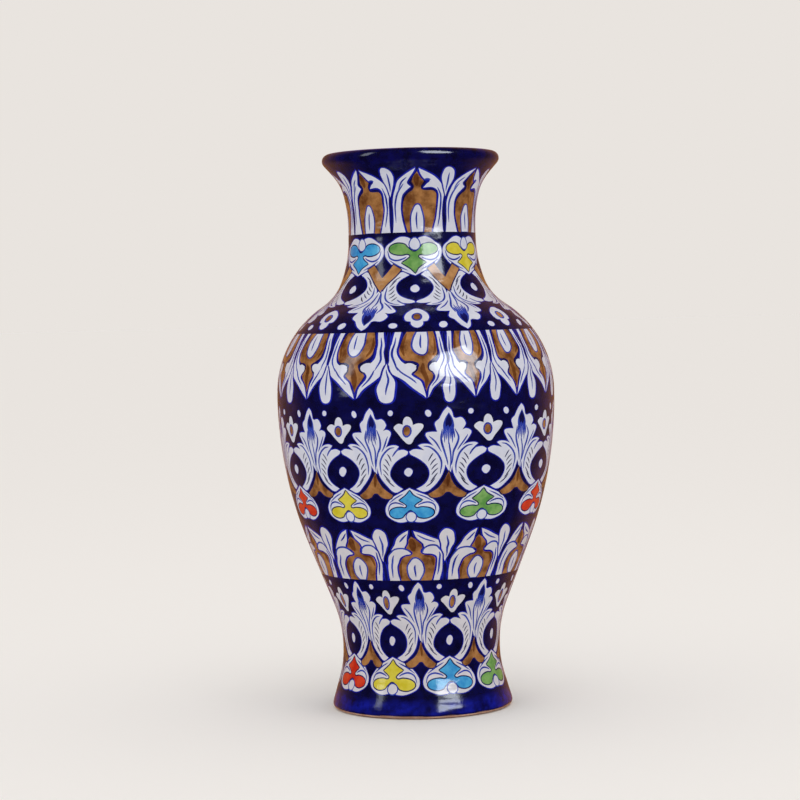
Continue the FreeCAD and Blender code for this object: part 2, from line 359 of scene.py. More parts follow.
def stroke(points, width, steps=4):
    """A brush stroke along open points, swelling to its width and lifting off at both ends."""
    spots = [Vector(p) for p in points]
    line = []
    for i in range(len(spots) - 1):
        here, there = spots[i], spots[i + 1]
        reach = (there - here).length
        leave = (there - spots[i - 1]).normalized() * reach if i else there - here
        ends = i + 2 < len(spots)
        arrive = (spots[i + 2] - here).normalized() * reach if ends else there - here
        line += [hermite(here, leave, there, arrive, j / steps) for j in range(steps)]
    line.append(spots[-1])
    left, right = [], []
    for i, spot in enumerate(line):
        along = (line[min(i + 1, len(line) - 1)] - line[max(i - 1, 0)]).normalized()
        pressed = math.sin(math.pi * i / (len(line) - 1)) ** 0.6
        swell = width / 2 * (LIFTED_SHARE + (1 - LIFTED_SHARE) * pressed)
        aside = Vector((-along.y, along.x)) * swell
        left.append(spot + aside)
        right.append(spot - aside)
    return left + right[::-1]


def blob(centre, half_width, half_height, turn=0.0, count=14):
    """An oval dab, turned by some degrees."""
    angle = math.radians(turn)
    return [Vector((centre[0] + half_width * math.cos(a) * math.cos(angle)
                    - half_height * math.sin(a) * math.sin(angle),
                    centre[1] + half_width * math.cos(a) * math.sin(angle)
                    + half_height * math.sin(a) * math.cos(angle)))
            for a in (2 * math.pi * i / count for i in range(count))]


def area_of(outline):
    """The area inside, below zero where the outline runs clockwise."""
    turned = outline[1:] + outline[:1]
    return sum(a.x * b.y - b.x * a.y for a, b in zip(outline, turned)) / 2


def swollen(outline, amount):
    """The outline moved outwards, for the halo or border that is painted under a mark."""
    side = 1 if area_of(outline) > 0 else -1
    count = len(outline)
    grown = []
    for i, spot in enumerate(outline):
        along = outline[(i + 1) % count] - outline[i - 1]
        if along.length < 1e-6:
            grown.append(spot.copy())
            continue
        along.normalize()
        grown.append(spot + Vector((along.y, -along.x)) * amount * side)
    return grown


def mirror_of(points):
    """The points of a half, across the middle and back to front, to close the whole shape."""
    return [(-p[0], *p[1:]) for p in points[::-1]]


def moved(outline, across):
    return [spot + Vector((across, 0)) for spot in outline]


def flipped(outline):
    return [Vector((-spot.x, spot.y)) for spot in outline]


class Repeat:
    """The marks of one repeat, and the layer that each belongs to."""

    def __init__(self, pitch, tall):
        self.pitch, self.tall = pitch, tall
        self.layers = [[], [], []]

    def add(self, pigment, outline, layer=2):
        self.layers[layer].append((pigment, outline))

    def reserve(self, outline, halo=0.55):
        """A shape left white, with the cobalt bleeding round it."""
        self.add("fringe", swollen(outline, halo), 0)
        self.add("white", outline, 1)

    def marks(self):
        return self.layers[0] + self.layers[1] + self.layers[2]


def triangulate(repeat, grid=3.0):
    """Cuts one repeat into triangles along every mark and says which pigment each shows.

    Extra points every few mm let it bend with the wall."""
    half, tall = repeat.pitch / 2, repeat.tall
    spots, faces, pigments = [], [], []

    def lay(pigment, outline):
        if area_of(outline) < 0:
            outline = outline[::-1]
        first = len(spots)
        spots.extend(outline)
        faces.append(list(range(first, len(spots))))
        pigments.append(pigment)

    lay("ground", [Vector((-half, 0)), Vector((half, 0)), Vector((half, tall)),
                   Vector((-half, tall))])
    for pigment, outline in repeat.marks():
        for shift in (-repeat.pitch, 0, repeat.pitch):
            placed = moved(outline, shift)
            if max(p.x for p in placed) > -half and min(p.x for p in placed) < half:
                lay(pigment, placed)
    across = max(2, round(repeat.pitch / grid))
    upward = max(2, round(tall / grid))
    for i in range(across + 1):
        for j in range(upward + 1):
            spots.append(Vector((-half + repeat.pitch * i / across, tall * j / upward)))
    same_spot = 1e-4
    cut = geometry.delaunay_2d_cdt(spots, [], faces, 0, same_spot)
    flat = np.array([tuple(v) for v in cut[0]])
    triangles, shown = [], []
    for triangle, inside in zip(cut[2], cut[5]):
        if 0 in inside and len(triangle) == 3:
            triangles.append(triangle)
            shown.append(pigments[max(inside)])
    return flat, np.array(triangles), shown


body = sorted(frame["bodies"])[0]
HAND = 1
noise.seed_set(HAND)  # without it the hand wavers differently in every run
SWAY = 0.8 * MM  # how far a mark strays from its place, as the hand wavers
WAVES_ROUND, WAVES_UP = 2.6, 7  # how often it wavers round the pot and up a band
USUAL_RADIUS = 50 * MM  # turns a sideways sway into an angle
FACE_SHARE = 0.94  # of the bake map's width, for the painted side; the rest is for hidden faces
CELL_EDGE = 0.01  # bare margin round each repeat's cell of that map
INNER_START, INNER_WIDE = 0.95, 0.02  # the strip of it for the side against the clay
RIM_MIDDLE, RIM_HALF = 0.985, 0.01  # the strip of it for the two rims
WELD = 4e-6  # m, between the edges of neighbouring repeats
SLIVER = 2e-6  # m, faces narrower than this are cleaned away


def put_out(name, data):
    """An object that holds a mesh, lamp or camera, set out in the scene."""
    holder = bpy.data.objects.new(name, data)
    bpy.context.scene.collection.objects.link(holder)
    return holder


def lay_on_pot(name, mesh):
    """Sets a finished band on the pot, in place of the plain coat."""
    mesh.materials.append(painted)
    piece = put_out(name, mesh)
    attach(piece, body)
    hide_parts("outer_glaze")


def coat_band(name, repeat, low, high, centres, hearts=None, slip_white_and_bounce="white"):
    """Wraps a repeat round the wall between two heights and gives it the coat's thickness."""
    flat, triangles, shown = triangulate(repeat)
    used = np.unique(triangles)
    renumber = np.full(len(flat), -1)
    renumber[used] = np.arange(len(used))
    flat, triangles = flat[used], renumber[triangles]
    count = len(centres)
    knots = np.arange(-1, count + 1)
    turns = np.radians([centres[-1] - 360, *centres, centres[0] + 360])
    start, end = run_at(low), run_at(high)
    points, normals, faces, colours, baked = [], [], [], [], []
    columns = max(range(1, count + 1), key=lambda c: min(
        FACE_SHARE / (c * repeat.pitch), 1 / (math.ceil(count / c) * repeat.tall)))
    rows = math.ceil(count / columns)
    least = flat.min(axis=0)
    cell = CELL_EDGE + (1 - 2 * CELL_EDGE) * (flat - least) / (flat.max(axis=0) - least)
    for k in range(count):
        baked.append(np.column_stack([(k % columns + cell[:, 0]) / columns * FACE_SHARE,
                                      (k // columns + cell[:, 1]) / rows]))
        step = k + flat[:, 0] / repeat.pitch
        angle = np.interp(step, knots, turns)
        if k == count - 1:
            angle = np.where(step > k, turns[-2] + (step - k) * (turns[-1] - turns[-2]), angle)
        share = flat[:, 1] / repeat.tall
        hold = np.sin(np.pi * np.clip(share, 0, 1))
        wave = np.array([noise.noise_vector((WAVES_ROUND * math.cos(a), WAVES_ROUND * math.sin(a),
                                             WAVES_UP * s + low))
                         for a, s in zip(angle, share)])
        angle = angle + SWAY * wave[:, 0] * hold / USUAL_RADIUS
        run = start + (end - start) * share + SWAY * wave[:, 1] * hold
        radius, height, out, up = on_wall(run)
        points.append(np.column_stack([radius * np.sin(angle), -radius * np.cos(angle), height]))
        normals.append(np.column_stack([out * np.sin(angle), -out * np.cos(angle), up]))
        faces.append(triangles + k * len(flat))
        # the white may be swapped for one that has a painted warm bounce of light from the floor
        swap = {"heart": hearts[k] if hearts else None, "white": slip_white_and_bounce}
        colours += [PIGMENTS[swap.get(pigment, pigment)] for pigment in shown]
    points, normals, faces = np.vstack(points), np.vstack(normals), np.vstack(faces)
    close_shell(name, points, normals, faces, colours, np.vstack(baked)[faces.ravel()])


def close_shell(name, points, normals, faces, colours, baked):
    """Welds the repeats, lines the painted face with an inner one and closes the two rims."""
    mesh = bpy.data.meshes.new(name)
    mesh.from_pydata(points.tolist(), [], faces.tolist())
    for layer, which in (("thick", 0), ("thin", 1)):
        stain = mesh.attributes.new(layer, "FLOAT_COLOR", "FACE")
        stain.data.foreach_set("color", np.array([c[which] for c in colours], np.float32).ravel())
    lean = mesh.attributes.new("lean", "FLOAT_VECTOR", "POINT")
    lean.data.foreach_set("vector", normals.astype(np.float32).ravel())
    mesh.uv_layers.new(name="OFBake").data.foreach_set("uv", baked.astype(np.float32).ravel())
    shell = bmesh.new()
    shell.from_mesh(mesh)
    bmesh.ops.remove_doubles(shell, verts=shell.verts, dist=WELD)
    lean_layer = shell.verts.layers.float_vector["lean"]
    outer = list(shell.faces)
    rims = [e for e in shell.edges if e.is_boundary]
    copied = bmesh.ops.duplicate(shell, geom=outer)
    inner = [f for f in copied["geom"] if isinstance(f, bmesh.types.BMFace)]
    twin = {e: copied["edge_map"][e] for e in rims}
    for v in {v for f in inner for v in f.verts}:
        v.co = v.co - v[lean_layer] * COAT
        v[lean_layer] = -v[lean_layer]
    bmesh.ops.reverse_faces(shell, faces=inner)
    middle_height = sum(v.co.z for v in shell.verts) / len(shell.verts)
    for above in (False, True):
        rim = [e for e in rims if (e.verts[0].co.z > middle_height) is above]
        bmesh.ops.bridge_loops(shell, edges=rim + [twin[e] for e in rim])
    bake_layer = shell.loops.layers.uv["OFBake"]
    painted_side, hidden_side = set(outer), set(inner)
    for face in shell.faces:
        if face in painted_side:
            continue
        centre = face.calc_center_median()
        facing = math.atan2(centre.y, centre.x)
        for loop in face.loops:
            spot = loop.vert.co
            swing = (math.atan2(spot.y, spot.x) - facing + math.pi) % (2 * math.pi) - math.pi
            round_it = min(max((facing + swing) / (2 * math.pi) + 0.5, 0), 1)
            if face in hidden_side:
                across = INNER_START + INNER_WIDE * loop[bake_layer].uv.x / FACE_SHARE
            else:
                depth = (spot.xy.length - centre.xy.length) / COAT
                across = RIM_MIDDLE + RIM_HALF * min(max(depth, -1), 1)
            loop[bake_layer].uv = (across, round_it)
    bmesh.ops.dissolve_degenerate(shell, dist=SLIVER, edges=shell.edges)
    bmesh.ops.triangulate(shell, faces=[f for f in shell.faces if len(f.verts) > 4])
    shell.to_mesh(mesh)
    shell.free()
    mesh.polygons.foreach_set("use_smooth", np.ones(len(mesh.polygons), bool))
    lean = np.zeros(len(mesh.vertices) * 3, np.float32)
    mesh.attributes["lean"].data.foreach_get("vector", lean)
    mesh.normals_split_custom_set_from_vertices(lean.reshape(-1, 3).tolist())
    lay_on_pot(name, mesh)


# --- Flower bands -----------------------------------------
# The same flower fills the belly, the foot and, upside down, the neck: a coloured trefoil in a
# white heart, two crescent leaves round a dotted eye, a floret over it and an acanthus between.

DRAWN_PITCH, DRAWN_TALL, DRAWN_EYE = 37, 64.5, 9.2  # mm, as the flower is drawn below
HEART_TIP = 21.3  # height of the point that the heart hangs from
HEART_EDGE, WEDGE_EDGE = 0.65, 0.7  # width of the dark line round them
DOT_HALO = 0.35  # how far the cobalt bleeds round a dot


def flower_repeat(pitch, tall, heart_size, eye_width, core, petals, inverted):
    """One flower drawn at its own size and stretched to the band, hanging or standing."""
    repeat = Repeat(pitch, tall)
    wide, high = pitch / DRAWN_PITCH, tall / DRAWN_TALL

    def fit(outline, stretch=1.0):
        top = tall if inverted else 0
        side = -1 if inverted else 1
        drawn = (0, 3, 22, 53, DRAWN_TALL)
        painted_at = (0, 5.1, 24.1, 52, DRAWN_TALL) if inverted else drawn
        return [Vector((p.x * stretch * wide,
                        top + side * float(np.interp(p.y, drawn, painted_at)) * high))
                for p in outline]

    def border(outline, width, pigment="outline"):
        repeat.add(pigment, swollen(outline, width))

    def medallion(outline):
        """The heart hangs from its tip, so it is made wider and longer from there."""
        return fit([Vector((p.x * heart_size[0], HEART_TIP + (p.y - HEART_TIP) * heart_size[1]))
                    for p in outline])

    half = [(4.4, 19.1), (9.3, 16.4), (12.7, 12.7), (14, 9.7), (13.4, 6.4), (10.8, 4.2), (6.8, 2.6),
            (3, 2.7)]
    heart = brushed([(0, HEART_TIP, 1), *half, (0, 3.9, 1), *mirror_of(half)])
    repeat.reserve(medallion(heart))
    half = [(1.9, 17.3), (5.7, 14.6, 1), (3.4, 13.2), (1.8, 11.4), (3, 10.2), (5.4, 10.6),
            (8.8, 10.2), (11.1, 9), (11.7, 7.4), (10.6, 5.8), (7.6, 4.8), (4.4, 5.4), (3.2, 6.8, 1)]
    trefoil = medallion(brushed([(0.2, 19.9, 1), *half, (0, 9.2), *mirror_of(half)]))
    border(trefoil, HEART_EDGE)
    repeat.add("heart", trefoil)
    bead = medallion(blob((0.4, 5.4), 2.5, 2.6))
    border(bead, HEART_EDGE, "line")
    repeat.add("white", bead)
    for side in (-1, 1):
        for path, width in ((((12.6, 8.4), (11.4, 12), (8.4, 13.4), (5, 12.6), (3.6, 11.7)), 0.85),
                            (((11.6, 13.2), (7.4, 16.2), (3.2, 18.4)), 0.7)):
            repeat.add("line", medallion(stroke([(side * x, y) for x, y in path], width)))

    leaf = brushed([(-3.4, 20.9, 1), (-7.4, 19.2), (-11.7, 22.3), (-15.1, 26.5), (-16.6, 30.7),
                    (-16.7, 34.5), (-15.6, 38.2), (-13.8, 41), (-11.4, 43.3), (-9, 44.3),
                    (-6.4, 44.4), (-4.8, 43.7, 1), (-7.4, 41, 1), (-5.8, 41.5), (-2.6, 41.9),
                    (-0.3, 40.8, 1), (-0.9, 39.3), (-3.7, 37.7), (-6.7, 35.5), (-9, 32.6),
                    (-10, 29.9), (-9.9, 27.3), (-8.5, 24.6), (-6.2, 22.5)])
    repeat.reserve(fit(leaf))
    repeat.reserve(fit(flipped(leaf)))
    ribs = (((-12.6, 37), (-11.2, 35.6), (-10, 33.4)), ((-13.4, 34.4), (-12, 33), (-10.8, 30.9)),
            ((-13.8, 31.8), (-12.4, 30.2), (-11, 28)), ((-13.8, 29.2), (-12, 26.6), (-10.2, 24.4)),
            ((-11.4, 39.6), (-10.2, 38), (-9, 35.6)), ((-12.6, 26.4), (-10.6, 24), (-8, 22)))
    contour = ((-14.9, 28.4), (-15.1, 34.5), (-13.4, 39.2), (-10, 42.6), (-7.2, 43.2))
    for side in (1, -1):
        repeat.add("line", fit(stroke([(side * x, y) for x, y in contour], 0.95)))
        for rib in ribs:
            repeat.add("outline", fit(stroke([(side * x, y) for x, y in rib], 0.62)))
    repeat.add("line", fit(stroke(((-5, 42.4), (-7, 40.8), (-8.7, 38.2)), 0.9)))
    dot = brushed([(0.2, 32.4), (2.1, 30.9), (1.7, 28.6), (0.1, 27.3), (-1.9, 28.9), (-1.7, 31.2)])
    repeat.reserve(fit(dot, stretch=eye_width / DRAWN_EYE), DOT_HALO)

    axis = 18.5
    acanthus = brushed([(-0.5, 63.3, 1), (1.1, 61.5), (2.1, 57.8, 1), (3.2, 57.2), (5.8, 57.5),
                        (7.7, 54.6), (6.9, 52.5), (6.1, 51.4, 1), (8.2, 51.9), (10.2, 50.4),
                        (9.3, 47.7), (7.2, 44), (5, 40.8), (3, 37), (1.8, 33), (1, 28, 1),
                        (-1.9, 33.9), (-4, 38.2), (-6.6, 42.9), (-9.3, 47.2), (-10.1, 49.8),
                        (-8.2, 50.6), (-5, 50.6, 1), (-5.6, 52.5), (-6.1, 55.1), (-4.2, 57.2, 1),
                        (-2.4, 61)])
    repeat.reserve(fit(moved(acanthus, axis)))
    flame = brushed([(0, 60.4, 1), (1.6, 57.4), (2.5, 54), (2.3, 51.4, 1), (1.2, 52.4),
                     (0, 51.2, 1), (-1.2, 52.2), (-2.3, 51, 1), (-2.5, 54), (-1.6, 57.4)])
    for x, drop in ((-2.2, 47.2), (-1.5, 44.6), (-0.7, 46.2), (0.1, 43.6), (0.9, 46.4), (1.6, 44.4),
                    (2.3, 47)):
        fan = stroke(((x * 0.7, 55), (x, 50.6), (x * 1.15, drop)), 0.75)
        repeat.add("line", fit(moved(fan, axis)))
    repeat.add("line", fit(moved(flame, axis)))
    core_of_flame = brushed([(0, 59.6, 1), (1, 57.4), (1.5, 54.8), (0.5, 52.6, 1), (-0.2, 54, 1),
                             (-1.2, 53, 1), (-1.4, 56)])
    repeat.add("outline", fit(moved(core_of_flame, axis)))
    for path, width in ((((2.8, 52), (4.4, 47.6), (3.8, 43.4), (2.2, 39.6), (1.2, 33)), 1.0),
                        (((-2.8, 52), (-3.2, 46.6), (-1.8, 40), (-0.4, 33)), 1.0),
                        (((0.3, 45), (0.9, 40), (0.7, 30.2)), 0.8),
                        (((-8.6, 48.6), (-5.8, 45.2), (-3.2, 40)), 0.8),
                        (((8.6, 48.8), (6.6, 44.8), (4.2, 40.6)), 0.8)):
        repeat.add("line", fit(moved(stroke(path, width), axis)))
    side = [(1.6, 25.6), (4.2, 21.8), (7.4, 19.3), (9.6, 17.8, 1), (8.2, 16), (5.6, 15.8),
            (3, 16.8), (1, 18.8)]
    if petals == 3:
        side = [(2.8, 27.4), (6.8, 22.4), (10.6, 17.8, 1), (6.2, 15.2, 1)]
    notch = (0, 22.8, 1) if petals == 3 else (0, 19, 1)
    tip = (0.3, 32 if petals == 3 else 29.6, 1)
    wedge = brushed([tip, *side, notch, *mirror_of(side)])
    wedge = fit(moved(wedge, axis))
    repeat.add("outline", swollen(wedge, WEDGE_EDGE), 1)
    repeat.add("sand" if petals == 3 else "ochre", wedge, 1)
    if petals == 4:
        repeat.add("umber", fit(moved(stroke(((0.3, 28.4), (0.2, 25.6), (0.1, 22)), 1.6), axis)), 1)

    if petals == 3:
        half = [(1.9, 60.4), (2.2, 58, 1), (3.9, 57.4), (4.5, 54), (3, 50.2)]
        floret = brushed([(0, 62), *half, (0, 47.8), *mirror_of(half)])
        place = (0, 54.6)
    else:
        floret = brushed([(-2.2, 54.4, 1), (-1.7, 57), (-0.3, 58.6), (1.4, 58.2), (2.4, 56),
                          (2.5, 54.2, 1), (5, 55.1), (7.2, 54.3), (6.6, 51.9), (3.4, 47.7),
                          (1.9, 45.1), (0.3, 44.8), (-1.3, 46.1), (-5, 50.4), (-6.8, 52.5),
                          (-6.4, 53.8), (-4.2, 55)])
        place = (-0.2, 51.2)
    eye, pupil = blob(place, core[0] + 0.75, core[1] + 0.9), blob(place, *core)
    repeat.reserve(fit(floret))
    repeat.add("line", fit(eye))
    repeat.add("ochre", fit(pupil))
    dot = 1.5 if petals == 3 else 1.3
    repeat.reserve(fit(blob((-8.2, 60.6), dot, dot * 1.1)), DOT_HALO)
    repeat.reserve(fit(blob((9.4, 60.2), dot, dot * 1.4, 20)), DOT_HALO)
    return repeat


def ring_of(by_eye, count):
    """Centre angles round the pot: the ones given, and the rest spaced evenly."""
    gap = (360 - (by_eye[-1] - by_eye[0])) / (count - len(by_eye) + 1)
    return by_eye + [by_eye[-1] + gap * (i + 1) for i in range(count - len(by_eye))]


def hearts_in_turn(count):
    """The colour of each heart, in the painter's order."""
    return [HEART_COLOURS[i % len(HEART_COLOURS)] for i in range(count)]


# Heights in mm where a turned line parts two bands.
FOOT_LINE, FLANK_LINE, BELLY_LINE = 11.2, 75.0, 104.5
SHOULDER_LINE, NECK_ROOT, NECK_LINE, MOUTH_LINE = 168.5, 206.3, 259.2, 295.6


def span(low, high):
    """Length of wall in mm between two heights in mm."""
    return (run_at(high) - run_at(low)) / MM


# --- Foot flowers -----------------------------------------
# Nine flowers stand on the foot ring and reach up to the flank line, brushed on white slip.
# Their white carries a painted warm bounce of light from the floor, duller than the belly's.

centres = ring_of([-57.7, -21.3, 20.0, 60.7], 9)
hearts = hearts_in_turn(len(centres))
hearts[-1] = "blue"  # nine hearts in four colours would set two reds side by side
foot_flower = flower_repeat(32, span(FOOT_LINE, FLANK_LINE), heart_size=(1.24, 1.05), eye_width=8.6,
                            core=(1.3, 3.3), petals=4, inverted=False)
coat_band("foot_flowers", foot_flower, FOOT_LINE, FLANK_LINE, centres, hearts, "white_with_painted_floor_bounce")

# --- Belly flowers ----------------------------------------
# Twelve flowers round the widest part, the largest and most careful of the painting: cobalt,
# ochre and four bright colours on white slip.

centres = ring_of([-62.8, -32.6, -3.7, 29.3, 65.6], 12)
belly_flower = flower_repeat(37.7, span(BELLY_LINE, SHOULDER_LINE), heart_size=(1.0, 1.0),
                             eye_width=9.2, core=(1.6, 2.3), petals=4, inverted=False)
coat_band("belly_flowers", belly_flower, BELLY_LINE, SHOULDER_LINE, centres,
          hearts_in_turn(len(centres)))

# --- Neck flowers -----------------------------------------
# Seven flowers hang upside down from under the mouth on to the root of the neck. Their florets
# have three petals and their brown is thinned to sand.

centres = ring_of([-51.3, 1.5, 51.8], 7)
hearts = ["blue", "green", "yellow", "red", "blue", "green", "red"]
neck_flower = flower_repeat(36, span(NECK_ROOT, NECK_LINE), heart_size=(1.3, 1.06), eye_width=10.2,
                            core=(1.3, 2.1), petals=3, inverted=True)
coat_band("neck_flowers", neck_flower, NECK_ROOT, NECK_LINE, centres, hearts)

# --- Arch bands -------------------------------------------
# Pointed umber niches, each with a white petal and a pair of curling white leaves that meet in
# a tip. A bud hangs between neighbours. They ring the flank, the shoulder and the mouth.

ARCH_EDGE, LEAF_HALO = 0.8, 0.9  # mm, round the niche, petal and bud, and round the leaves


def arch_repeat(pitch, tall, drawn, scale, niche, shades, petal, leaves, lines, bud, lobes,
                inverted):
    """One arch drawn at its own pitch and stretched by scale upwards, hanging or standing."""
    repeat = Repeat(pitch, tall)
    wide = pitch / drawn

    def fit(outline):
        top = tall if inverted else 0
        side = -1 if inverted else 1
        return [Vector((p.x * wide, top + side * p.y * scale)) for p in outline]

    recess = fit(brushed(niche))
    repeat.add("outline", swollen(recess, ARCH_EDGE), 0)
    repeat.add("ochre", recess, 0)
    for path, width in shades:
        repeat.add("umber", fit(stroke(path, width)), 0)
    for leaf in leaves:
        outline = fit(brushed(leaf))
        repeat.add("fringe", swollen(outline, LEAF_HALO), 0)
        repeat.add("white", outline, 1)
    seed = fit(brushed(petal))
    repeat.add("line", swollen(seed, ARCH_EDGE), 1)
    repeat.add("white", seed, 1)
    middle_x = sum(p[0] for p in petal) / len(petal)
    low_y, high_y = min(p[1] for p in petal), max(p[1] for p in petal)
    vein = ((middle_x, high_y - 3.5), (middle_x - 0.3, (low_y + high_y) / 2),
            (middle_x, low_y + 1.5))
    repeat.add("line", fit(stroke(vein, 0.9)))
    for path, width in lines:
        repeat.add("line", fit(stroke(path, width)))
    for centre, half_width, half_height in lobes:
        lobe = fit(blob(centre, half_width, half_height))
        repeat.add("outline", swollen(lobe, ARCH_EDGE), 0)
        repeat.add("white", lobe, 1)
    stem = drawn / 2
    root_y = min(p[1] for p in bud)
    for pigment, reach, width in (("fringe", root_y + 2, 2.6), ("outline", root_y, 1.5)):
        stalk = stroke(((0, -2), (0.1, root_y / 2), (0, reach)), width)
        repeat.add(pigment, fit(moved(stalk, stem)))
    hanging = fit(moved(brushed(bud), stem))
    repeat.add("fringe", swollen(hanging, ARCH_EDGE))
    repeat.add("white", hanging)
    bud_top = max(p[1] for p in bud)
    crease = ((0, bud_top - 3.5), (0.4, (bud_top + root_y) / 2), (0.2, root_y + 2.5))
    repeat.add("line", fit(moved(stroke(crease, 0.9), stem)))
    return repeat


# --- Flank arches -----------------------------------------
# Twelve low arches stand on the flank line under the belly flowers. Their white carries the same
# painted warm bounce of light from the floor as the foot's.

flank_arch = arch_repeat(
    31.5, span(FLANK_LINE, BELLY_LINE), 27.6, 1.11,
    niche=[(-0.3, 23.1, 1), (-4.5, 17.6, 1), (-1.6, 15.6), (-3.2, 13.4), (-6.3, 11), (-7.6, 6),
           (-6.8, 0, 1), (8, 0, 1), (9, 4.5), (10, 8.7), (9.6, 12.3), (6.6, 14), (3.7, 14.4),
           (3.2, 16), (5, 18.9, 1)],
    shades=[(((-0.3, 22), (-0.4, 19), (0.6, 15.6)), 3.0), (((-5.6, 9.6), (-6.4, 5), (-6, 1)), 1.6),
            (((4.4, 13.2), (8, 12.4), (9, 8)), 1.5)],
    petal=[(1, 11.6), (-1.4, 9.6), (-2.6, 6), (-2.2, 2.4), (-0.8, 0.3, 1), (2.4, 0.3, 1),
           (4, 3.9), (4.4, 7.1), (3.2, 10)],
    leaves=[[(-1.6, 26.5, 1), (-4.4, 24.6), (-7.2, 21), (-9.5, 16.2, 1), (-8, 14.4),
             (-4.2, 15.4), (-3.8, 18), (-2.5, 21)],
            [(-11.9, 0, 1), (-12.1, 5), (-11.6, 9.2), (-10.4, 12.9), (-8.4, 15.7), (-5.4, 16.6),
             (-2.6, 15.9), (-0.9, 14.2), (-3.2, 13.3), (-5.6, 11.6), (-7.2, 8.6), (-7.8, 4.6),
             (-6.9, 0, 1)],
            [(0.5, 26.2, 1), (3.4, 25), (7.4, 22.8), (11.2, 20.4), (12.6, 16.6, 1), (10, 17),
             (6.6, 17.4), (4.8, 17.8), (4, 19.6), (1.9, 22.4)],
            [(4, 14.8), (4.9, 17), (7, 18.3), (9.6, 17.9), (11.8, 15), (12.7, 11.3), (12.6, 6.4),
             (11.6, 0, 1), (8.9, 0, 1), (9.6, 4.4), (10.5, 8.7), (10.2, 12.2), (7.8, 14)]],
    lines=[(((-11, 12.4), (-8.8, 16), (-5.4, 17), (-2.4, 16.2), (-0.9, 14.5)), 0.9),
           (((4, 15), (4.8, 17.3), (7, 18.7), (9.9, 18.2), (12.1, 15)), 0.9),
           (((-8.2, 13.2), (-10, 8.4), (-10.3, 1.6)), 0.9),
           (((-5.8, 20.4), (-4, 22.2), (-2.2, 24.6)), 0.8),
           (((10.8, 15.2), (11.5, 10.4), (10.5, 3)), 0.9),
           (((8.8, 20.4), (5.2, 21.8), (2, 24.2)), 0.8)],
    bud=[(-0.6, 27.1), (-2.4, 25.4), (-3, 22), (-1.9, 17), (0, 10, 1), (1.7, 16), (3, 21.6),
         (2.3, 25.2)],
    lobes=[], inverted=False)
centres = ring_of([-68.7, -34.4, -3.3, 30.2, 61.0], 12)
coat_band("flank_arches", flank_arch, FLANK_LINE, BELLY_LINE, centres, None, "white_with_painted_floor_bounce")

# --- Shoulder arches --------------------------------------
# Sixteen arches hang from the root of the neck over the shoulder. Two white lobes fill the
# waist of each niche.

shoulder_arch = arch_repeat(
    27.0, span(SHOULDER_LINE, NECK_ROOT), 29.0, 1.05,
    niche=[(-6.6, 0, 1), (-8.4, 4.6), (-9.4, 9.3), (-9.2, 13.6), (-7.2, 16.2), (-4.1, 16.4),
           (-1.6, 17.8), (-2.2, 20), (-4.1, 22.2, 1), (-1.2, 26), (1.4, 32.2, 1), (3.3, 27),
           (5.7, 22.4, 1), (3.4, 20.2), (2.6, 17.6), (5.4, 15.4), (8.4, 12.6), (9, 8.2), (8.5, 3.6),
           (7.7, 0, 1)],
    shades=[(((-0.2, 17.2), (0.6, 22), (1.5, 30)), 2.6), (((-6.6, 1), (-8.4, 8), (-7.4, 14)), 1.5),
            (((5.6, 13.8), (8, 10), (7.8, 3)), 1.4)],
    petal=[(-2, 0.2, 1), (-3.6, 4.6), (-3.9, 8.2), (-2.6, 11.8), (-0.2, 13.2), (2.2, 11.6),
           (3.5, 7.4), (3.4, 0.2, 1)],
    leaves=[[(-11.9, 0, 1), (-12.9, 6.7), (-14.2, 13.4), (-14.4, 18.4), (-12.2, 22.6), (-7.7, 26.5),
             (-3.1, 30.6), (1, 34.6, 1), (0.4, 30.6), (-1.4, 26.8), (-4.6, 23.4), (-3.2, 20.6),
             (-2.6, 18.2, 1), (-6, 18.2), (-9.2, 15.8), (-10.4, 10), (-9, 0, 1)],
            [(11.9, 0, 1), (13, 6.7), (14.2, 13.4), (14.4, 18.4), (12.6, 22.6), (9, 26.4),
             (5, 30.4), (2, 34.6, 1), (3.6, 29), (6.2, 24.2), (5.6, 21.4), (4, 19.4, 1),
             (7.6, 17.2), (10.2, 13), (10.3, 7.6), (9.4, 0, 1)]],
    lines=[(((-11.2, 3), (-12, 9.6), (-12, 15.2), (-9.6, 20.8)), 1.0),
           (((-10.2, 19), (-7, 23.4), (-3, 27.6)), 0.9),
           (((11.2, 3), (12, 9.6), (12, 15.2), (10, 20.4)), 1.0),
           (((9.8, 20.2), (7.6, 24.4), (4.6, 29)), 0.9)],
    bud=[(-1.9, 36.4), (-3.3, 32.4), (-3.4, 28.4), (-1.7, 23), (0, 17.6, 1), (1.7, 23), (3.4, 28.4),
         (3.3, 32.4), (1.8, 36.4)],
    lobes=[((-5.4, 19.6), 2.9, 2.3), ((6.6, 19.2), 2.9, 2.3)],
    inverted=True)
centres = ring_of([-74.5, -50.6, -26.3, 3.2, 23.3, 43.3, 65.6], 16)
coat_band("shoulder_arches", shoulder_arch, SHOULDER_LINE, NECK_ROOT, centres)

# --- Mouth arches -----------------------------------------
# Eight arches open upwards with the flare, their tips just under the cobalt lip. Umber and
# white on slip, like the rows below.

